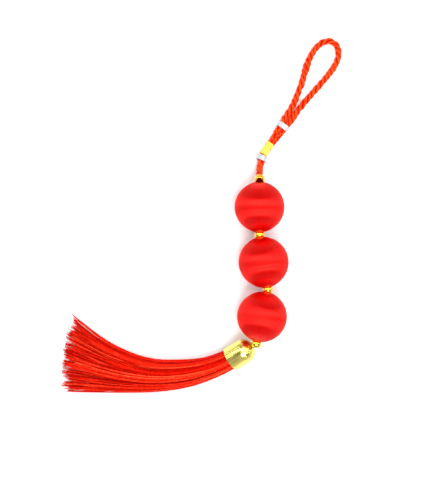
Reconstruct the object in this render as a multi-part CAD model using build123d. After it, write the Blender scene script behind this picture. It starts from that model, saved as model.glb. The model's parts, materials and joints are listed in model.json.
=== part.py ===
from build123d import *
import math
import os

os.makedirs("parts", exist_ok=True)

# A festive hanging charm: a doubled cord loop with three thread whippings, three silk-wound balls
# strung between gold beads, and a bell cap that holds a thread tassel.
# It lies on its side on the plane Z = 0, with the loop at +Y and the tassel towards -X.
# The origin is under the middle of the beads, balls, cap and tassel. Millimetres.

# Driving dimensions
ball_diameter = 25.0
winding = 0.35  # thickness of the silk thread wound on each ball
bead_diameter = 5.2
bead_sink = 1.1  # how far a bead sits inside a ball's outer sphere
bead_bore = 3.0
string_diameter = 1.7  # the string inside the balls and beads
string_recess = 0.7  # how far a string's end lies below a bead's outer sphere
string_gap = 0.3  # between a bead's outer sphere and the start of the next string
running = 0.05  # radial clearance of a ball's lined bore on the string
seat = 0.15  # clearance of a bead in the dimple of the ball that it bends against
cord_diameter = 3.0
leg_spacing = 3.06  # between the cord's two legs where they run side by side
lift = 0.03  # soft pieces end this far above the surface that they lie on

cap_mouth_diameter = 12.8
cap_length = 13.5
cap_skirt_length = 7.6  # the almost straight part of the cap's side
cap_hole_radius = 1.15
cap_wall = 0.45
cap_tilt = 19.0  # degrees that the cap's top is raised, with its rim on the surface
cap_reach = 14.9  # from the last bead's centre to the cap's mouth, seen from above
cap_heading = -57.2

chain_top = Vector(42.6, 53.0, ball_diameter / 2)  # the centre of the first bead
ball_headings = [0.0, 8.5, -12.0]  # degrees from -Y towards +X, along each ball's string
first_bead_slope = 65.0  # degrees that the first bead's bore climbs towards the ball

ball_radius = ball_diameter / 2
bead_radius = bead_diameter / 2
string_radius = string_diameter / 2
lining_radius = string_radius + running
pitch = ball_radius + bead_radius - bead_sink  # from a bead's centre to its ball's centre

# The free cord's centreline, from the upper whipping round the loop and back
loop_route = [
    (53.76, 81.52, 1.9),
    (57.1, 86.5, 1.70),
    (60.3, 91.7, 1.54),
    (62.4, 97.1, 1.54),
    (64.6, 102.7, 1.54),
    (66.2, 108.5, 1.54),
    (67.7, 113.8, 1.54),
    (70.1, 118.6, 1.54),
    (73.4, 122.7, 1.54),
    (77.7, 125.0, 1.54),
    (81.7, 123.5, 1.54),
    (83.7, 119.6, 1.54),
    (83.1, 114.7, 1.54),
    (80.4, 109.8, 1.54),
    (76.3, 104.7, 1.54),
    (71.7, 99.5, 1.54),
    (67.0, 94.2, 1.54),
    (62.6, 88.8, 1.54),
    (59.3, 84.1, 1.70),
    (56.26, 79.75, 1.9),
]

# The cord's centre inside each whipping, and where the tail starts to climb
stem_top = Vector(55.01, 80.64, 1.9)
yellow_at = Vector(46.7, 69.0, 2.1)
lower_at = Vector(44.0, 64.2, 2.95)
tail_bend = Vector(43.0, 59.8, 3.3)

# Whippings and tail
upper_length = 3.2
upper_thickness = 0.32
yellow_length = 7.4
lower_length = 3.1
lower_radius = 2.85
tail_diameter = 3.4
tail_taper = 0.9  # length over which the tail narrows to the string
tail_rise = 6.5  # how far before the first bead the tail points straight into its bore

# The cap's string and the tassel's top inside the cap. Heights are measured from the cap's mouth.
knot_height = 10.6
knot_radius = 1.9
cap_string_radius = 1.0
head_bottom_height = 5.5
head_top_height = 8.4
head_radius = 4.4
binding_radius = 4.9
binding_inset = 0.6


def heading_vector(degrees):
    """A level unit vector at this angle from -Y towards +X."""
    angle = math.radians(degrees)
    return Vector(math.sin(angle), -math.cos(angle), 0)


def plane_at(origin, direction):
    """A plane whose normal is the direction, with its x axis level."""
    return Plane(origin=origin, x_dir=direction.cross(Vector(0, 0, 1)), z_dir=direction)


def rod(start, end, radius):
    """A straight round bar with flat ends."""
    direction = (end - start).normalized()
    section = plane_at(start, direction) * Circle(radius)
    return extrude(section, amount=(end - start).length, dir=direction)


def arc_radii(route):
    """Each corner's arc: 0.45 of the shorter run over the tangent of half the turn."""
    points = [Vector(*p) for p in route]
    runs = [b - a for a, b in zip(points, points[1:])]
    radii = []
    for before, after in zip(runs, runs[1:]):
        half_turn = math.radians(before.get_angle(after)) / 2
        radii.append(0.45 * min(before.length, after.length) / math.tan(half_turn))
    return radii


def tube(route, radius):
    """A round tube along the route, its straight runs joined by tangent arcs."""
    radii = arc_radii(route)
    path = FilletPolyline(*[Vector(*p) for p in route], radius=radii)
    start = Plane(origin=path @ 0, z_dir=path % 0)
    solid = sweep(start * Circle(radius), path=path)
    expected = math.pi * radius**2 * path.length
    print("arc radii", [round(r, 1) for r in radii])
    print("length", round(path.length, 1), "volume over section times length",
          round(solid.volume / expected, 4))
    return solid


def silk_ball(centre, direction):
    """The core and its wound skin, which also lines the bore and the dimples at its ends."""
    axis = plane_at(centre, direction)

    def ball(radius, dimple, bore):
        solid = Sphere(radius) - Cylinder(bore, 4 * radius)
        for end in (-pitch, pitch):
            solid -= Pos(0, 0, end) * Sphere(dimple)
        return axis * solid

    dimple = bead_radius + seat
    core = ball(ball_radius - winding, dimple + winding, lining_radius + winding)
    skin = ball(ball_radius, dimple, lining_radius) - core
    return core, skin


def bead(centre, direction):
    """A ball with a rounded rim at each end of its bore."""
    rim_round = 0.3
    solid = Sphere(bead_radius) - Cylinder(bead_bore / 2, bead_diameter)
    solid = fillet(solid.edges().filter_by(GeomType.CIRCLE), rim_round)
    return plane_at(centre, direction) * solid


def whipping(centre, direction, outline, length):
    """A band of wound thread round the cord, with rounded edges."""
    edge_round = 0.25
    band = extrude(outline, amount=length / 2, both=True)
    return plane_at(centre, direction) * fillet(band.edges(), edge_round)


def bell_cap(mouth, direction):
    """A pressed bell: a slightly flared skirt and a domed top with a hole for the string."""
    taper = 0.1

    def bell(offset):
        foot = cap_mouth_diameter / 2 - offset
        shoulder = foot - taper
        skirt = Cone(foot, shoulder, cap_skirt_length, align=(Align.CENTER, Align.CENTER, Align.MIN))
        dome_height = cap_length - cap_skirt_length - offset
        dome = make_face(
            Polyline((0, dome_height), (0, 0), (shoulder, 0))
            + EllipticalCenterArc((0, 0), shoulder, dome_height, 0, arc_size=90)
        )
        return skirt + Pos(0, 0, cap_skirt_length) * revolve(Plane.XZ * dome, Axis.Z)

    solid = bell(0) - bell(cap_wall) - Cylinder(cap_hole_radius, 4 * cap_length)
    return plane_at(mouth, direction) * solid


def tassel_skirt(mouth, direction):
    """The closed outline of the hanging threads: a round neck, then a flat fan of tips."""
    neck_radius = 5.2
    blend_depth = 0.05  # keeps the neck's ball just inside the first section
    # centre, direction across which the section lies, half width and half height
    stations = [
        (mouth, -direction, neck_radius, neck_radius),
        (Vector(17.9, -43.0, 5.3), Vector(-0.91, -0.41, 0), 5.6, 5.2),
        (Vector(5.3, -46.2, 4.7), Vector(-1, 0, 0), 7.2, 4.6),
        (Vector(-13.2, -47.3, 4.0), Vector(-1, 0, 0), 8.2, 3.9),
        (Vector(-31.6, -43.7, 3.2), Vector(-1, 0, 0), 11.8, 3.1),
        (Vector(-44.0, -39.4, 2.5), Vector(-1, 0, 0), 16.0, 2.4),
        (Vector(-54.4, -36.3, 2.0), Vector(-0.992, 0.124, 0), 18.9, 1.9),
    ]
    sections = [
        plane_at(centre, along.normalized()) * Ellipse(half_width, half_height)
        for centre, along, half_width, half_height in stations
    ]
    fan = loft(sections, ruled=True)
    return fan + plane_at(mouth, direction) * Sphere(neck_radius - blend_depth)


# The doubled cord below the upper whipping, and the tail that carries the first bead
stem_line = (yellow_at - stem_top).normalized()
tail_line = (lower_at - yellow_at).normalized()
stem_bottom = yellow_at - stem_line * (yellow_length / 2)
first_bead_line = (
    heading_vector(ball_headings[0]) * math.cos(math.radians(first_bead_slope))
    + Vector(0, 0, math.sin(math.radians(first_bead_slope)))
)

nodes = {}
nodes["loop_cord"] = tube(loop_route, cord_diameter / 2)

# share of the way down, width and height
stem_sections = [(0.02, 5.3, 2.75), (0.5, 4.5, 3.1), (1.0, tail_diameter, tail_diameter)]
stem_run = stem_bottom - stem_top
stem = loft([
    plane_at(stem_top + stem_run * share, stem_line) * Ellipse(width / 2, height / 2)
    for share, width, height in stem_sections
])
nodes["stem_cord"] = stem

tail_route = [
    stem_bottom,
    yellow_at,
    lower_at,
    tail_bend,
    chain_top - first_bead_line * tail_rise,
    chain_top - first_bead_line * (bead_radius + tail_taper),
]
tail = tube([tuple(p) for p in tail_route], tail_diameter / 2)
taper_start = tail_route[-1]
taper_end = taper_start + first_bead_line * tail_taper
tail += loft([
    plane_at(taper_start, first_bead_line) * Circle(tail_diameter / 2),
    plane_at(taper_end, first_bead_line) * Circle(string_radius),
])
tail += rod(taper_end, chain_top + first_bead_line * (bead_radius - string_recess), string_radius)
nodes["tail_cord"] = tail

pair_width = leg_spacing + cord_diameter
pair_clearance = 0.1
pair_hole = plane_at(stem_top, stem_line) * extrude(
    SlotOverall(pair_width + pair_clearance, cord_diameter + 2 * pair_clearance),
    amount=upper_length,
    both=True,
)
upper_outline = SlotOverall(pair_width + 2 * upper_thickness, 2 * (stem_top.Z - lift))
nodes["upper_silver_whipping"] = (
    whipping(stem_top, stem_line, upper_outline, upper_length) - pair_hole
)
yellow_line = (stem_line + tail_line).normalized()
nodes["yellow_whipping"] = (
    whipping(yellow_at, yellow_line, Circle(yellow_at.Z - lift), yellow_length) - stem - tail
)
lower_line = (tail_line + (tail_bend - lower_at).normalized()).normalized()
nodes["lower_silver_whipping"] = (
    whipping(lower_at, lower_line, Circle(lower_radius), lower_length) - tail
)

nodes["bead_1"] = bead(chain_top, first_bead_line)
at = chain_top
for number, heading in enumerate(ball_headings, start=1):
    line = heading_vector(heading)
    centre = at + line * pitch
    core, skin = silk_ball(centre, line)
    nodes[f"ball_{number}_core"] = core
    nodes[f"ball_{number}_winding"] = skin
    next_bead = centre + line * pitch
    string_start = at + line * (bead_radius + string_gap)
    string_end = next_bead + line * (bead_radius - string_recess)
    nodes[f"core_string_{number}"] = rod(string_start, string_end, string_radius)
    nodes[f"bead_{number + 1}"] = bead(next_bead, line)
    at = next_bead
    print("bead", number + 1, "centre", tuple(round(v, 2) for v in at))

mouth_height = cap_mouth_diameter / 2 * math.cos(math.radians(cap_tilt)) + lift
level_line = heading_vector(cap_heading)
mouth = Vector(at.X, at.Y, mouth_height) + level_line * cap_reach
cap_line = (
    level_line * -math.cos(math.radians(cap_tilt))
    + Vector(0, 0, math.sin(math.radians(cap_tilt)))
)
print("cap mouth", tuple(round(v, 2) for v in mouth), "axis", cap_line)

nodes["bell_cap"] = bell_cap(mouth, cap_line)
knot_at = mouth + cap_line * knot_height
nodes["cap_string"] = rod(knot_at, mouth + cap_line * cap_length, cap_string_radius)
nodes["tassel_knot"] = Pos(*knot_at) * Sphere(knot_radius) - nodes["cap_string"]
head_bottom = mouth + cap_line * head_bottom_height
head_top = mouth + cap_line * head_top_height
inset = cap_line * binding_inset
nodes["tassel_head"] = rod(head_bottom, head_top, head_radius)
nodes["tassel_binding"] = (
    rod(head_bottom + inset, head_top - inset, binding_radius) - nodes["tassel_head"]
)
nodes["tassel_skirt"] = tassel_skirt(mouth, cap_line)

for name, solid in nodes.items():
    export_step(solid, f"parts/{name}.step")

cord_pieces = [name for name in nodes if name.endswith(("_cord", "_whipping"))]
box = Compound([s for n, s in nodes.items() if n not in cord_pieces]).bounding_box()
print("box without the free cord", box.min, box.max, "centre", box.center())
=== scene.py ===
import json
import math
import random

import bpy
import numpy as np
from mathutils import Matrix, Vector, noise


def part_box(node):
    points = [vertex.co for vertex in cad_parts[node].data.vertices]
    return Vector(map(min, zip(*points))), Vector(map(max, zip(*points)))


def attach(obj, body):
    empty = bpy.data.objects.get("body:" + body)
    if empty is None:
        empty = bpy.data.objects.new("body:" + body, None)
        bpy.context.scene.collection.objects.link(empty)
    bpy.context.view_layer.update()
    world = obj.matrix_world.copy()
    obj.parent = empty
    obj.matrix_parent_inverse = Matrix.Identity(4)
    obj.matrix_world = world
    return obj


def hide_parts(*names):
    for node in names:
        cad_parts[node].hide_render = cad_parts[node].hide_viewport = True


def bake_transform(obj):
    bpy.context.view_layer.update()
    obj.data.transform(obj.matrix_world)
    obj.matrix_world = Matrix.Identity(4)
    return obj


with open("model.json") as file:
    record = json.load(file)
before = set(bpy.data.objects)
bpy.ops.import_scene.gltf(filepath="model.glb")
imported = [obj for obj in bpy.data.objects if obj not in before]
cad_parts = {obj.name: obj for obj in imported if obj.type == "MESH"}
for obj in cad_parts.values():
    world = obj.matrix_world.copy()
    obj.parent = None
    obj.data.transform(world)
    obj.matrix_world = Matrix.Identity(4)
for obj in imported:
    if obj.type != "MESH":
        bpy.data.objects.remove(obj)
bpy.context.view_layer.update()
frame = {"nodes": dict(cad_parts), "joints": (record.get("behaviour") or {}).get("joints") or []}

MM = 0.001
joints = {joint["name"]: joint for joint in frame["joints"]}


# ---------------------------------------------------------------- general helpers

def from_mm(x, y, z):
    return Vector((x, y, z)) * MM


def joint_point(name):
    return Vector(joints[name]["pos_m"])


def joint_axis(name):
    return Vector(joints[name]["axis"]).normalized()


def new_object(name, vertices, faces, material, smooth=True):
    mesh = bpy.data.meshes.new(name)
    mesh.from_pydata([tuple(v) for v in vertices], [], faces)
    mesh.update()
    mesh.materials.append(material)
    mesh.polygons.foreach_set("use_smooth", [smooth] * len(mesh.polygons))
    piece = bpy.data.objects.new(name, mesh)
    bpy.context.scene.collection.objects.link(piece)
    return piece


def nurbs_points(route, per_span=14):
    """Points along the smooth spline that has this route as its control points."""
    curve = bpy.data.curves.new("route", "CURVE")
    curve.dimensions = "3D"
    curve.resolution_u = per_span
    spline = curve.splines.new("NURBS")
    spline.points.add(len(route) - 1)
    for control, place in zip(spline.points, route):
        control.co = (*place, 1.0)
    spline.order_u = 3
    spline.use_endpoint_u = True
    holder = bpy.data.objects.new("route", curve)
    bpy.context.scene.collection.objects.link(holder)
    bpy.context.view_layer.update()
    graph = bpy.context.evaluated_depsgraph_get()
    mesh = bpy.data.meshes.new_from_object(holder.evaluated_get(graph), depsgraph=graph)
    points = [Vector(v.co) for v in mesh.vertices]
    bpy.data.objects.remove(holder)
    bpy.data.meshes.remove(mesh)
    return points


def even_points(points, step):
    """The same line with its points evenly spaced."""
    line = np.array(points)
    along = np.concatenate([[0], np.cumsum(np.linalg.norm(np.diff(line, axis=0), axis=1))])
    count = max(3, int(along[-1] / step) + 1)
    at = np.linspace(0, along[-1], count)
    return [Vector([np.interp(a, along, line[:, k]) for k in range(3)]) for a in at]


def line_length(points):
    return sum((b - a).length for a, b in zip(points, points[1:]))


def frames_along(points):
    """(tangent, side, up) at each point, turning as little as it can."""
    found = []
    side = None
    for i in range(len(points)):
        tangent = (points[min(i + 1, len(points) - 1)] - points[max(i - 1, 0)]).normalized()
        if side is None:
            side = tangent.cross(Vector((0, 0, 1)))
            if side.length < 0.1:
                side = tangent.cross(Vector((0, 1, 0)))
        side = (side - tangent * side.dot(tangent)).normalized()
        found.append((tangent, side, side.cross(tangent)))
    return found


class Mesher:
    """Collects the vertices and faces of many tubes, and a shade_and_tone value at each vertex, into one
    mesh: painted shade mixed with random tone, for the base colour.
    """

    def __init__(self):
        self.vertices = []
        self.faces = []
        self.shades_and_tones = []

    def tube(self, points, radius, sides=8, ridges=0, ridge_turns=0.0, ridge_depth=0.0, shade_and_tone=0.5):
        """A closed tube. radius and shade_and_tone are numbers or functions of the share of the length."""
        first = len(self.vertices)
        rings = len(points)
        for i, (point, (_, side, up)) in enumerate(zip(points, frames_along(points))):
            share = i / (rings - 1)
            size = radius(share) if callable(radius) else radius
            shade = shade_and_tone(share) if callable(shade_and_tone) else shade_and_tone
            for k in range(sides):
                angle = 2 * math.pi * k / sides
                swell = 1.0
                if ridges:
                    swell += ridge_depth * math.cos(ridges * (angle + ridge_turns * share))
                offset = side * math.cos(angle) + up * math.sin(angle)
                self.vertices.append(point + offset * size * swell)
                self.shades_and_tones.append(shade)
        for i in range(rings - 1):
            for k in range(sides):
                a = first + i * sides + k
                b = first + i * sides + (k + 1) % sides
                self.faces.append((a, b, b + sides, a + sides))
        self.faces.append(tuple(first + k for k in reversed(range(sides))))
        last = first + (rings - 1) * sides
        self.faces.append(tuple(last + k for k in range(sides)))

    def build(self, name, material):
        piece = new_object(name, self.vertices, self.faces, material)
        layer = piece.data.attributes.new("shade_and_tone", "FLOAT", "POINT")
        layer.data.foreach_set("value", self.shades_and_tones)
        return piece


def rope(name, points, radius, material, **lay):
    """Strands laid round a line. radius is the rope's, as a number or a function of the share."""
    mesher = Mesher()
    add_rope(mesher, points, radius, **lay)
    return mesher.build(name, material)


def add_rope(mesher, points, radius, strands=3, lay=9.5 * MM, hand=1, start_angle=0.0):
    turns = 2 * math.pi * line_length(points) / lay * hand
    fill = 1 / (1 + 1 / math.sin(math.pi / strands))  # strand radius over rope radius
    frames = frames_along(points)
    sides = 16
    for strand in range(strands):
        phase = start_angle + 2 * math.pi * strand / strands
        line = []
        for i, (point, (_, side, up)) in enumerate(zip(points, frames)):
            share = i / (len(points) - 1)
            whole = radius(share) if callable(radius) else radius
            angle = phase + turns * share + 0.5 * math.sin(19 * share) + 0.3 * math.sin(47 * share)
            offset = side * math.cos(angle) + up * math.sin(angle)
            line.append(point + offset * whole * (1 - fill))

        def strand_radius(share):
            whole = radius(share) if callable(radius) else radius
            wobble = 0.05 * math.sin(37 * share + 2.1 * strand) + 0.03 * math.sin(83 * share + strand)
            return whole * fill * (1.02 + wobble)

        first = len(mesher.vertices)
        mesher.tube(line, strand_radius, sides=sides, ridges=4, ridge_turns=-turns * 0.5, ridge_depth=0.14)
        # Painted shade and highlight: a vertex's shade_and_tone grows with its distance from the rope's
        # centre, so the gaps between strands are painted dark and the crests painted light.
        for i, point in enumerate(points):
            share = i / (len(points) - 1)
            whole = radius(share) if callable(radius) else radius
            for k in range(sides):
                index = first + i * sides + k
                out = (mesher.vertices[index] - point).length / whole
                mesher.shades_and_tones[index] = max(0.0, min(1.0, (out - 0.45) / 0.55))


# ---------------------------------------------------------------- materials

def new_material(name, **values):
    """A Principled material. values are its sockets, with _ for a space."""
    material = bpy.data.materials.new(name)
    material.use_nodes = True
    shader = material.node_tree.nodes["Principled BSDF"]
    for socket, value in values.items():
        shader.inputs[socket.replace("_", " ")].default_value = value
    return material, material.node_tree, shader


def add(tree, kind, **settings):
    node = tree.nodes.new(kind)
    for name, value in settings.items():
        if name in node.inputs:
            node.inputs[name].default_value = value
        else:
            setattr(node, name, value)
    return node


def colour_by_noise(tree, shader, colours, scale, stretch=(1, 1, 1)):
    """Base colour that wanders between the given colours."""
    place = add(tree, "ShaderNodeTexCoord")
    mapping = add(tree, "ShaderNodeMapping")
    mapping.inputs["Scale"].default_value = stretch
    wander = add(tree, "ShaderNodeTexNoise", Scale=scale, Detail=3.0)
    ramp = add(tree, "ShaderNodeValToRGB")
    tree.links.new(place.outputs["Object"], mapping.inputs["Vector"])
    tree.links.new(mapping.outputs["Vector"], wander.inputs["Vector"])
    tree.links.new(wander.outputs["Fac"], ramp.inputs["Fac"])
    elements = ramp.color_ramp.elements
    elements[0].position = 0.3
    elements[0].color = (*colours[0], 1)
    elements[1].position = 0.7
    elements[1].color = (*colours[-1], 1)
    for i, colour in enumerate(colours[1:-1], start=1):
        middle = elements.new(0.3 + 0.4 * i / (len(colours) - 1))
        middle.color = (*colour, 1)
    tree.links.new(ramp.outputs["Color"], shader.inputs["Base Color"])


def roughness_by_noise(tree, shader, scale, low, high):
    place = add(tree, "ShaderNodeTexCoord")
    wander = add(tree, "ShaderNodeTexNoise", Scale=scale, Detail=4.0)
    spread = add(tree, "ShaderNodeMapRange")
    spread.inputs["To Min"].default_value = low
    spread.inputs["To Max"].default_value = high
    tree.links.new(place.outputs["Object"], wander.inputs["Vector"])
    tree.links.new(wander.outputs["Fac"], spread.inputs["Value"])
    tree.links.new(spread.outputs["Result"], shader.inputs["Roughness"])


def bump_by_noise(tree, shader, scale, strength, distance, stretch=(1, 1, 1)):
    place = add(tree, "ShaderNodeTexCoord")
    mapping = add(tree, "ShaderNodeMapping")
    mapping.inputs["Scale"].default_value = stretch
    wander = add(tree, "ShaderNodeTexNoise", Scale=scale, Detail=3.0)
    bump = add(tree, "ShaderNodeBump", Strength=strength, Distance=distance)
    tree.links.new(place.outputs["Object"], mapping.inputs["Vector"])
    tree.links.new(mapping.outputs["Vector"], wander.inputs["Vector"])
    tree.links.new(wander.outputs["Fac"], bump.inputs["Height"])
    tree.links.new(bump.outputs["Normal"], shader.inputs["Normal"])


def colour_by_shade_and_tone(tree, shader, colours, scale, mottle):
    """Base colour from dark to light by each vertex's shade_and_tone, with some noise added. On ropes this is
    painted shade in the gaps between strands and a painted highlight on their crests; on the tassel, random
    tone per thread with painted shade on the lower threads.
    """
    shade_and_tone = add(tree, "ShaderNodeAttribute", attribute_name="shade_and_tone")
    place = add(tree, "ShaderNodeTexCoord")
    wander = add(tree, "ShaderNodeTexNoise", Scale=scale, Detail=3.0)
    spread = add(tree, "ShaderNodeMapRange")
    spread.inputs["To Min"].default_value = -mottle
    spread.inputs["To Max"].default_value = mottle
    total = add(tree, "ShaderNodeMath", operation="ADD")
    ramp = add(tree, "ShaderNodeValToRGB")
    tree.links.new(place.outputs["Object"], wander.inputs["Vector"])
    tree.links.new(wander.outputs["Fac"], spread.inputs["Value"])
    tree.links.new(shade_and_tone.outputs["Fac"], total.inputs[0])
    tree.links.new(spread.outputs["Result"], total.inputs[1])
    tree.links.new(total.outputs["Value"], ramp.inputs["Fac"])
    elements = ramp.color_ramp.elements
    elements[0].position = 0.05
    elements[0].color = (*colours[0], 1)
    elements[1].position = 0.95
    elements[1].color = (*colours[-1], 1)
    for i, colour in enumerate(colours[1:-1], start=1):
        middle = elements.new(0.05 + 0.9 * i / (len(colours) - 1))
        middle.color = (*colour, 1)
    tree.links.new(ramp.outputs["Color"], shader.inputs["Base Color"])


def fibre_material(name, colours, metallic, roughness, specular=0.2, scale=900.0, mottle=0.3):
    """Satin thread: its gloss takes the thread's own colour."""
    material, tree, shader = new_material(name, Metallic=metallic, Roughness=roughness)
    shader.inputs["Specular IOR Level"].default_value = specular
    shader.inputs["Specular Tint"].default_value = (*colours[-1], 1)
    colour_by_shade_and_tone(tree, shader, colours, scale, mottle)
    roughness_by_noise(tree, shader, scale, roughness - 0.08, roughness + 0.1)
    bump_by_noise(tree, shader, scale * 4, 0.3, 0.05 * MM)
    return material


def silk_material():
    """Red silk threads that run from pole to pole, so the gloss spreads across them."""
    material, tree, shader = new_material("silk", Metallic=0.6, Anisotropic=1.0)
    shader.inputs["Specular IOR Level"].default_value = 0.5
    shader.inputs["Specular Tint"].default_value = (1.0, 0.85, 0.7, 1)
    tangent = add(tree, "ShaderNodeTangent", direction_type="UV_MAP", uv_map="threads")
    tree.links.new(tangent.outputs["Tangent"], shader.inputs["Tangent"])
    place = add(tree, "ShaderNodeUVMap", uv_map="threads")
    mapping = add(tree, "ShaderNodeMapping")
    mapping.inputs["Scale"].default_value = (240, 5, 1)
    wander = add(tree, "ShaderNodeTexNoise", Scale=1.0, Detail=3.0)
    ramp = add(tree, "ShaderNodeValToRGB")
    tree.links.new(place.outputs["UV"], mapping.inputs["Vector"])
    tree.links.new(mapping.outputs["Vector"], wander.inputs["Vector"])
    tree.links.new(wander.outputs["Fac"], ramp.inputs["Fac"])
    elements = ramp.color_ramp.elements
    elements[0].position = 0.3
    elements[0].color = (0.66, 0.0, 0.0, 1)
    elements[1].position = 0.7
    elements[1].color = (0.80, 0.001, 0.001, 1)
    tree.links.new(ramp.outputs["Color"], shader.inputs["Base Color"])
    spread = add(tree, "ShaderNodeMapRange")
    spread.inputs["To Min"].default_value = 0.38
    spread.inputs["To Max"].default_value = 0.46
    tree.links.new(wander.outputs["Fac"], spread.inputs["Value"])
    tree.links.new(spread.outputs["Result"], shader.inputs["Roughness"])
    bump = add(tree, "ShaderNodeBump", Strength=0.12, Distance=0.03 * MM)
    tree.links.new(wander.outputs["Fac"], bump.inputs["Height"])
    tree.links.new(bump.outputs["Normal"], shader.inputs["Normal"])
    return material


def gold_with_painted_streaks(name, colours, axis, low, high, depth):
    """Polished gold with faint ripples that run along the axis, and painted reflection streaks: the base
    colour runs from olive to pale with the same ripples.
    """
    material, tree, shader = new_material(name, Metallic=1.0, Roughness=low)
    place = add(tree, "ShaderNodeTexCoord")
    turned = add(tree, "ShaderNodeMapping")
    turned.inputs["Rotation"].default_value = axis.to_track_quat("Z", "Y").inverted().to_euler()
    stretched = add(tree, "ShaderNodeMapping")
    stretched.inputs["Scale"].default_value = (1, 1, 0.04)
    ripple = add(tree, "ShaderNodeTexNoise", Scale=1150.0, Detail=2.0)
    tree.links.new(place.outputs["Object"], turned.inputs["Vector"])
    tree.links.new(turned.outputs["Vector"], stretched.inputs["Vector"])
    tree.links.new(stretched.outputs["Vector"], ripple.inputs["Vector"])
    bump = add(tree, "ShaderNodeBump", Strength=1.0, Distance=depth)
    tree.links.new(ripple.outputs["Fac"], bump.inputs["Height"])
    tree.links.new(bump.outputs["Normal"], shader.inputs["Normal"])
    # Painted reflection: olive and pale streaks in the base colour, following the ripples along the axis.
    ramp = add(tree, "ShaderNodeValToRGB")
    elements = ramp.color_ramp.elements
    elements[0].position = 0.35
    elements[0].color = (*colours[0], 1)
    elements[1].position = 0.65
    elements[1].color = (*colours[1], 1)
    tree.links.new(ripple.outputs["Fac"], ramp.inputs["Fac"])
    tree.links.new(ramp.outputs["Color"], shader.inputs["Base Color"])
    roughness_by_noise(tree, shader, 500.0, low, high)
    return material


def gold_material(name, colours, low, high, bump_strength):
    material, tree, shader = new_material(name, Metallic=1.0, Roughness=low)
    colour_by_noise(tree, shader, colours, 300.0)
    roughness_by_noise(tree, shader, 500.0, low, high)
    bump_by_noise(tree, shader, 260.0, bump_strength, 0.1 * MM)
    return material


def wood_material():
    material, tree, shader = new_material("core_wood", Roughness=0.7)
    colour_by_noise(tree, shader, [(0.5, 0.33, 0.18), (0.72, 0.53, 0.33)], 160.0, stretch=(6, 6, 1))
    bump_by_noise(tree, shader, 400.0, 0.3, 0.1 * MM, stretch=(6, 6, 1))
    return material


def floor_material():
    material, tree, shader = new_material("paper_floor", Roughness=0.6)
    colour_by_noise(tree, shader, [(0.79, 0.79, 0.79), (0.82, 0.82, 0.82)], 6.0)
    roughness_by_noise(tree, shader, 60.0, 0.55, 0.7)
    return material


# ---------------------------------------------------------------- camera, floor, light

bpy.context.scene.view_settings.view_transform = "Standard"

# The camera looks straight down, 0.7 m above the surface
camera_height = 0.7
camera_over = Vector((23.4 * MM, 17.3 * MM, 0))
view_height = 0.2571  # of the surface, from the picture's bottom edge to its top
camera_data = bpy.data.cameras.new("camera")
camera_data.sensor_width = 36.0
camera_data.lens = camera_data.sensor_width * camera_height / view_height
camera_data.clip_start = 0.01
camera_data.clip_end = 10.0
camera = bpy.data.objects.new("camera", camera_data)
camera.location = camera_over + Vector((0, 0, camera_height))
bpy.context.scene.collection.objects.link(camera)
bpy.context.scene.camera = camera


def make_floor():
    half = 1.5
    height = -0.15 * MM  # a hair below the plane that the charm lies on
    corners = [(-half, -half, height), (half, -half, height), (half, half, height), (-half, half, height)]
    floor = new_object("floor", corners, [(0, 1, 2, 3)], floor_material(), smooth=False)


def soft_box(name, tilt_y, tilt_x, distance, width, height, power):
    """An area light aimed at the balls, leaning from straight up towards +Y and +X."""
    target = joint_point("ball_2_spin")
    direction = Vector((math.tan(math.radians(tilt_x)), math.tan(math.radians(tilt_y)), 1)).normalized()
    data = bpy.data.lights.new(name, "AREA")
    data.shape = "RECTANGLE"
    data.size = width
    data.size_y = height
    data.energy = power
    light = bpy.data.objects.new(name, data)
    light.location = target + direction * distance
    light.rotation_mode = "QUATERNION"
    light.rotation_quaternion = direction.to_track_quat("Z", "Y")
    bpy.context.scene.collection.objects.link(light)


def make_world(horizon, zenith):
    """White surroundings that are brighter towards the horizon."""
    world = bpy.data.worlds.new("studio")
    world.use_nodes = True
    tree = world.node_tree
    place = add(tree, "ShaderNodeTexCoord")
    parts = add(tree, "ShaderNodeSeparateXYZ")
    ramp = add(tree, "ShaderNodeValToRGB")
    elements = ramp.color_ramp.elements
    elements[0].position = 0.3
    elements[0].color = (horizon, horizon, horizon, 1)
    elements[1].position = 0.7
    elements[1].color = (zenith, zenith, zenith, 1)
    tree.links.new(place.outputs["Generated"], parts.inputs["Vector"])
    tree.links.new(parts.outputs["Z"], ramp.inputs["Fac"])
    tree.links.new(ramp.outputs["Color"], tree.nodes["Background"].inputs["Color"])
    bpy.context.scene.world = world


make_floor()
make_world(horizon=0.62, zenith=0.27)
light_distance = 1.0
soft_box("upper_strip", 22, 0, light_distance, width=4.0, height=0.42, power=21.0)
for lean, power in ((-4, 3.2), (-19, 3.6), (-33, 4.0)):
    soft_box(f"lower_box_{-lean}", lean, 7, light_distance, width=0.7, height=0.09, power=power)


# ---------------------------------------------------------------- the cord loop

cord_radius = 1.5 * MM
loop_route = [
    from_mm(*place)
    for place in [
        (53.76, 81.52, 1.9),
        (57.1, 86.5, 1.70),
        (60.3, 91.7, 1.54),
        (62.4, 97.1, 1.54),
        (64.6, 102.7, 1.54),
        (66.2, 108.5, 1.54),
        (67.7, 113.8, 1.54),
        (70.1, 118.6, 1.54),
        (73.4, 122.7, 1.54),
        (77.7, 125.0, 1.54),
        (81.7, 123.5, 1.54),
        (83.7, 119.6, 1.54),
        (83.1, 114.7, 1.54),
        (80.4, 109.8, 1.54),
        (76.3, 104.7, 1.54),
        (71.7, 99.5, 1.54),
        (67.0, 94.2, 1.54),
        (62.6, 88.8, 1.54),
        (59.3, 84.1, 1.70),
        (56.26, 79.75, 1.9),
    ]
]
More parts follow.
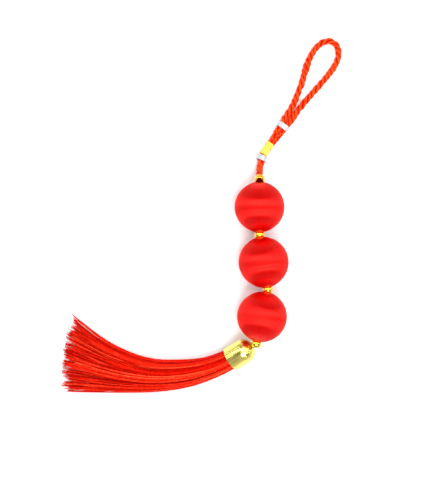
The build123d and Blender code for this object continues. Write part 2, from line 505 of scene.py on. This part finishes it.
# Painted shade and highlight for the cord: dark red in the gaps between strands up to orange on the crests,
# by each vertex's shade_and_tone.
cord_shade_to_highlight_reds = [(0.24, 0.001, 0.0), (0.44, 0.003, 0.0), (0.66, 0.010, 0.001), (0.88, 0.07, 0.012)]
cord_red = fibre_material("cord_satin", cord_shade_to_highlight_reds, 0.15, 0.45, specular=0.15, scale=700.0, mottle=0.45)
rope_step = 0.4 * MM  # between a rope's rings
loop_line = even_points(nurbs_points(loop_route), rope_step)
left_leg = loop_line[: len(loop_line) // 2]
knuckle_place = min(left_leg, key=lambda point: (point - from_mm(66.4, 110.6, 1.54)).length)
knuckle_at = loop_line.index(knuckle_place) / (len(loop_line) - 1)


def loop_radius(share):
    """The cord's radius, with a kink where its strands bulge."""
    knuckle = 0.26 * math.exp(-(((share - knuckle_at) / 0.022) ** 2))
    from_end = min(share, 1 - share)
    pressed = 0.12 * max(0.0, 1 - from_end / 0.16) if from_end > 0.03 else -0.12
    return cord_radius * (1.06 + knuckle + pressed + 0.04 * math.sin(61 * share))


for i, point in enumerate(loop_line):
    point.z = max(point.z, loop_radius(i / (len(loop_line) - 1)) + 0.03 * MM)
loop = rope("cord_loop", loop_line, loop_radius, cord_red)
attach(loop, "hanging_cord")
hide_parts("loop_cord")


# ---------------------------------------------------------------- the stem, tail and whippings

stem_top = from_mm(55.01, 80.64, 1.9)
yellow_at = from_mm(46.7, 69.0, 2.1)
lower_at = from_mm(44.0, 64.2, 2.95)
tail_bend = from_mm(43.0, 59.8, 3.3)
bead_1_at = joint_point("bead_1_spin")
bead_1_line = joint_axis("bead_1_spin")


def stem_radius(share):
    """Held in by the upper whipping, and narrowing towards the yellow one."""
    return (1.30 if share < 0.15 else 1.44 - 0.36 * share) * MM


def make_stem():
    """The cord's two legs, drawn together from the upper whipping to the yellow one."""
    mesher = Mesher()
    line = (yellow_at - stem_top).normalized()
    side = line.cross(Vector((0, 0, 1))).normalized()
    start = stem_top + line * 0.2 * MM
    end = yellow_at - line * 2.0 * MM
    for leg in (-1, 1):
        route = []
        for share in (0, 0.3, 0.6, 1):
            spread = 1.5 - 0.72 * share
            route.append(start + (end - start) * share + side * leg * spread * MM)
        points = even_points(nurbs_points(route), rope_step)
        add_rope(mesher, points, stem_radius, start_angle=leg * 1.1)
    stem = mesher.build("stem_legs", cord_red)
    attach(stem, "hanging_cord")
    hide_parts("stem_cord")
    return stem


def make_tail():
    """The tail below the yellow whipping, which rises into the first bead's bore."""
    line = (yellow_at - stem_top).normalized()
    route = [
        yellow_at - line * 2.5 * MM,
        yellow_at,
        lower_at,
        tail_bend,
        bead_1_at - bead_1_line * 6.5 * MM,
        bead_1_at - bead_1_line * 2.6 * MM,
    ]
    points = even_points(nurbs_points(route), rope_step)
    tail = rope("tail_rope", points, 1.72 * MM, cord_red, lay=9 * MM)
    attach(tail, "hanging_cord")
    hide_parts("tail_cord")
    return tail


def coil(name, centre, line, half_width, half_height, length, turns, thread, material, seed):
    """Turns of thread wound close together round the cord."""
    side = line.cross(Vector((0, 0, 1))).normalized()
    up = side.cross(line)
    points = []
    steps = turns * 40
    for i in range(steps + 1):
        share = i / steps
        angle = 2 * math.pi * turns * share
        tuck = min(1.0, 12 * share, 12 * (1 - share))
        slip = 0.07 * thread * noise.noise(Vector((angle, seed, 0)))
        across = side * math.cos(angle) * (half_width - thread * (1.6 - 0.6 * tuck))
        rise = up * math.sin(angle) * (half_height - thread * (1.6 - 0.6 * tuck))
        along = line * ((share - 0.5) * (length - 2 * thread) + slip)
        points.append(centre + across + rise + along)
    mesher = Mesher()
    mesher.tube(points, thread * 1.05, sides=12, ridges=3, ridge_turns=steps * 0.35, ridge_depth=0.05)
    return mesher.build(name, material)


# Near-black reds: painted shade for the strings in the bores and inside the cap, where the red string sits in
# shade. The dark thread end at the yellow whipping is drawn in it too.
near_black_shade_reds = [(0.01, 0.0, 0.0), (0.06, 0.0, 0.0), (0.20, 0.002, 0.001)]
near_black_shade_string = fibre_material("string_near_black_shade", near_black_shade_reds, 0.0, 0.7, specular=0.1)
silver = fibre_material("silver_thread", [(0.32, 0.34, 0.36), (0.58, 0.60, 0.63), (0.80, 0.81, 0.84)],
                        0.5, 0.3, specular=0.5, scale=1500.0, mottle=0.5)
yellow = fibre_material("yellow_thread", [(0.70, 0.54, 0.04), (0.84, 0.70, 0.10), (0.92, 0.80, 0.20)],
                        0.1, 0.45, scale=1500.0, mottle=0.4)


def make_whippings():
    stem_line = (yellow_at - stem_top).normalized()
    tail_line = (lower_at - yellow_at).normalized()
    lower_line = (tail_line + (tail_bend - lower_at).normalized()).normalized()
    upper = coil("upper_whipping_coil", stem_top, stem_line, 3.38 * MM, 1.92 * MM, 3.3 * MM, 5,
                 0.33 * MM, silver, 1)
    middle = coil("yellow_whipping_coil", yellow_at, (stem_line + tail_line).normalized(),
                  2.07 * MM, 2.07 * MM, 7.5 * MM, 14, 0.28 * MM, yellow, 2)
    lower = coil("lower_whipping_coil", lower_at, lower_line, 2.85 * MM, 2.85 * MM, 3.2 * MM, 4,
                 0.4 * MM, silver, 3)
    named = [(upper, "upper_silver_whipping", "silver_thread"), (middle, "yellow_whipping", "yellow_thread"),
             (lower, "lower_silver_whipping", "silver_thread")]
    for piece, node, slot_name in named:
        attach(piece, "hanging_cord")
        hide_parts(node)
    return [upper, middle, lower]


def make_bead_string():
    """The tail's string inside the first bead, in near-black painted shade so that the bore looks dark."""
    points = even_points([bead_1_at - bead_1_line * 2.9 * MM, bead_1_at + bead_1_line * 1.2 * MM], rope_step)
    piece = rope("bead_1_string", points, 1.36 * MM, near_black_shade_string, lay=6 * MM)
    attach(piece, "hanging_cord")
    return piece


def make_thread_ends():
    """The ends of two threads that stick out of the yellow whipping."""
    pieces = []
    for name, start, end, material in [
        ("red_thread_end", from_mm(48.1, 68.6, 3.0), from_mm(48.6, 68.7, 3.8), cord_red),
        ("dark_thread_end", from_mm(43.9, 66.4, 3.6), from_mm(43.8, 66.1, 4.3), near_black_shade_string),
    ]:
        mesher = Mesher()
        mesher.tube(even_points([start, end], 0.3 * MM), 0.27 * MM, shade_and_tone=0.6)
        piece = mesher.build(name, material)
        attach(piece, "hanging_cord")
        pieces.append(piece)
    return pieces


stem = make_stem()
tail = make_tail()
whippings = make_whippings()
make_bead_string()
make_thread_ends()


# ---------------------------------------------------------------- beads and strings

bead_gold = gold_material("bead_gold", [(0.86, 0.44, 0.02), (0.98, 0.62, 0.06)], 0.10, 0.2, 0.15)
for number in range(1, 5):
    node = frame["nodes"][f"bead_{number}"]
    node.material_slots[0].material = bead_gold

string_half_length = 13.45 * MM
string_radius = 0.85 * MM
for number in range(1, 4):
    node = f"core_string_{number}"
    low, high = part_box(node)
    centre = (low + high) / 2
    run = joint_axis(f"ball_{number}_spin") * string_half_length
    points = even_points([centre - run, centre + run], 0.6 * MM)
    # Near-black painted shade for the string in the bores.
    piece = rope(f"string_rope_{number}", points, string_radius, near_black_shade_string, lay=6 * MM)
    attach(piece, f"string_{number}")
    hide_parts(node)


# ---------------------------------------------------------------- silk balls

ball_radius = 12.5 * MM
bore_radius = 0.9 * MM
bead_pitch = (joint_point("bead_2_spin") - joint_point("ball_1_spin")).length
dimple_radius = 2.75 * MM
thread_height = 0.005 * MM
thread_unevenness = 0.004 * MM
layer_unevenness = 0.07 * MM
skin_lift = 0.10 * MM
pole_fade = 4 * MM  # closer to the string than this, the relief fades out
silk = silk_material()


def ball_profile(rows):
    """(height along the string, radius) of the outer skin, one pole to the other."""
    cut = (bead_pitch**2 + ball_radius**2 - dimple_radius**2) / (2 * bead_pitch)
    rim_angle = math.acos(cut / ball_radius)
    profile = []
    for i in range(rows + 1):
        angle = rim_angle + (math.pi - 2 * rim_angle) * i / rows
        profile.append((ball_radius * math.cos(angle), ball_radius * math.sin(angle)))
    floor_height = bead_pitch - math.sqrt(dimple_radius**2 - bore_radius**2)
    top = [(floor_height, bore_radius)]
    for i in range(1, 4):
        share = i / 4
        top.append((floor_height + (cut - floor_height) * share**1.4,
                    bore_radius + (ball_radius * math.sin(rim_angle) - bore_radius) * share))
    bottom = [(-height, radius) for height, radius in reversed(top)]
    return top + profile + bottom


def silk_ball(number):
    threads = 250
    around = threads * 2
    profile = ball_profile(84)
    rows = len(profile)
    centre = joint_point(f"ball_{number}_spin")
    axis = joint_axis(f"ball_{number}_spin")
    side = axis.cross(Vector((0, 0, 1))).normalized()
    up = side.cross(axis)
    pick = random.Random(number)
    heights = [pick.uniform(-1, 1) for _ in range(threads)]
    vertices = []
    for row, (height, radius) in enumerate(profile):
        share = row / (rows - 1)
        for k in range(around):
            turn = k / around
            circle = Vector((math.cos(2 * math.pi * turn), math.sin(2 * math.pi * turn), 0))
            lean = 0.10 * noise.noise(circle * 1.7 + Vector((0, 0, 7.0 * number)))
            angle = 2 * math.pi * turn + lean * math.cos(math.pi * share)
            thread = k // 2
            ridge = (1 if k % 2 else -1) * thread_height + heights[thread] * thread_unevenness
            layer = noise.noise(circle * 2.6 + Vector((0, 0, 3.0 * number + 0.6 * share))) * layer_unevenness
            fade = min(1.0, radius / pole_fade)
            grown = radius + (ridge + layer + skin_lift) * fade
            scale = grown / radius
            point = (side * math.cos(angle) + up * math.sin(angle)) * grown
            vertices.append(centre + axis * height * (1 + (scale - 1) * 0.8) + point)
    faces = []
    for row in range(rows):
        below = (row + 1) % rows
        for k in range(around):
            beside = (k + 1) % around
            here, next_row = row * around, below * around
            faces.append((here + k, here + beside, next_row + beside, next_row + k))
    piece = new_object(f"silk_winding_{number}", vertices, faces, silk)
    layer = piece.data.uv_layers.new(name="threads")
    uv = np.zeros((len(piece.data.loops), 2))
    loop_vertex = np.zeros(len(piece.data.loops), dtype=int)
    piece.data.loops.foreach_get("vertex_index", loop_vertex)
    uv[:, 0] = (loop_vertex % around) / around
    uv[:, 1] = (loop_vertex // around) / rows
    corners = uv.reshape(-1, 4, 2)
    wrapped = corners[:, :, 0].max(1) - corners[:, :, 0].min(1) > 0.5
    across_seam = corners[wrapped, :, 0]
    corners[wrapped, :, 0] = np.where(across_seam < 0.5, across_seam + 1, across_seam)
    layer.data.foreach_set("uv", corners.reshape(-1))
    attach(piece, f"ball_{number}")
    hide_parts(f"ball_{number}_winding")


core_wood = wood_material()
for number in range(1, 4):
    silk_ball(number)
    frame["nodes"][f"ball_{number}_core"].material_slots[0].material = core_wood


# ---------------------------------------------------------------- cap and tassel

mouth = joint_point("cap_spin")
cap_line = joint_axis("cap_spin")
# Olive to pale: painted reflection streaks along the cap.
cap_gold = gold_with_painted_streaks("cap_gold", [(0.72, 0.58, 0.09), (0.99, 0.85, 0.26)], cap_line,
                         0.17, 0.25, 0.30 * MM)
frame["nodes"]["bell_cap"].material_slots[0].material = cap_gold

# Random tone per thread and painted shade: the threads lower in the bundle are darker.
tassel_tone_and_shade_reds = [(0.20, 0.0, 0.0), (0.50, 0.003, 0.001), (0.80, 0.016, 0.004), (0.92, 0.10, 0.035)]
tassel_red = fibre_material("tassel_rayon", tassel_tone_and_shade_reds, 0.2, 0.4, specular=0.15, scale=900.0, mottle=0.3)
# The string, knot and binding inside the cap take the near-black painted shade.
for node in ("cap_string", "tassel_knot", "tassel_binding"):
    frame["nodes"][node].material_slots[0].material = near_black_shade_string
frame["nodes"]["tassel_head"].material_slots[0].material = tassel_red

# The bundle's centre, the way across it, half width and half height, from the mouth to the tips
inside = 5.0 * MM
stations = [
    (mouth + cap_line * inside, cap_line.cross(Vector((0, 0, -1))).normalized(), 4.2 * MM, 4.2 * MM),
    (mouth, cap_line.cross(Vector((0, 0, -1))).normalized(), 5.1 * MM, 5.1 * MM),
    (from_mm(17.9, -43.0, 5.2), Vector((-0.41, 0.91, 0)), 5.5 * MM, 5.0 * MM),
    (from_mm(5.3, -46.2, 4.7), Vector((0, 1, 0)), 7.0 * MM, 4.4 * MM),
    (from_mm(-13.2, -47.3, 4.0), Vector((0, 1, 0)), 8.0 * MM, 3.7 * MM),
    (from_mm(-31.6, -43.7, 3.2), Vector((0, 1, 0)), 11.6 * MM, 2.9 * MM),
    (from_mm(-44.0, -39.4, 2.5), Vector((0, 1, 0)), 15.8 * MM, 2.2 * MM),
    (from_mm(-54.4, -35.9, 2.0), Vector((0.124, 0.992, 0)), 19.1 * MM, 1.7 * MM),
]

# Threads that stray from the fan, each from its start to its end, in millimetres
strays = [
    ((-38.0, -46.5, 1.5), (-58.6, -52.3, 0.5)),
    ((-24.0, -53.2, 0.9), (-55.6, -54.9, 0.5)),
    ((-20.0, -52.0, 1.2), (-54.5, -53.6, 0.6)),
    ((-45.0, -26.5, 1.8), (-52.6, -17.4, 1.4)),
]


def make_tassel():
    """Loose threads from the cap's mouth in clumps, each inside the bundle's outline."""
    pick = random.Random(11)
    mesher = Mesher()
    threads = 400
    clump_count = 34
    clump_pull = 0.3
    thread_radius = 0.31
    thread_taper = 0.14
    stray_radius = 0.22 * MM
    clumps = [pick.uniform(-1, 1) for _ in range(clump_count)]
    golden = math.pi * (3 - math.sqrt(5))
    for i in range(threads):
        reach = math.sqrt((i + 0.5) / threads)
        angle = golden * i
        u = reach * math.cos(angle)
        v = reach * math.sin(angle)
        clump = min(clumps, key=lambda place: abs(place - u))
        drift_u = pick.uniform(-0.2, 0.2)
        drift_v = pick.uniform(-0.3, 0.3)
        wave = pick.uniform(0, 2 * math.pi)
        route = []
        for s, (centre, across, half_width, half_height) in enumerate(stations):
            share = s / (len(stations) - 1)
            up = Vector((0, 0, 1))
            if s < 2:
                up = across.cross(-cap_line)
                if up.z < 0:
                    up = -up
            pull = clump_pull * (clump - u) * share
            sway = 0.05 * math.sin(wave + 8 * share) * share**2
            width = max(-1.02, min(1.02, u + pull + drift_u * share + sway))
            height = max(-0.97, min(0.97, v + (drift_v + pick.uniform(-0.2, 0.2)) * share))
            route.append(centre + across * half_width * width + up * half_height * height * 0.92)
        points = even_points(nurbs_points(route, 6), 4.2 * MM)
        last = (points[-1] - points[-2]).normalized()
        trim = (pick.triangular(-1.4, 9.0, 0.8) - 3.2 * (1 - u * u)) * MM
        if trim < 0:
            points.append(points[-1] - last * trim)
        else:
            points[-1] = points[-1] - last * min(trim, 3.9 * MM)
        # Painted shade: a random tone for each thread, darkened for the threads lower in the bundle.
        shade = pick.triangular(0.1, 1.0, 0.72) * (0.6 + 0.4 * (v + 1) / 2)
        mesher.tube(points, lambda share: (thread_radius - thread_taper * share**2) * MM, sides=5, shade_and_tone=shade)
    for start, end in strays:
        middle = (from_mm(*start) + from_mm(*end)) / 2 + Vector((0, 0.6 * MM, 0))
        points = nurbs_points([from_mm(*start), middle, from_mm(*end)], 5)
        mesher.tube(points, stray_radius, sides=5, shade_and_tone=0.8)
    tassel = mesher.build("tassel_threads", tassel_red)
    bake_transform(tassel)
    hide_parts("tassel_skirt")


make_tassel()
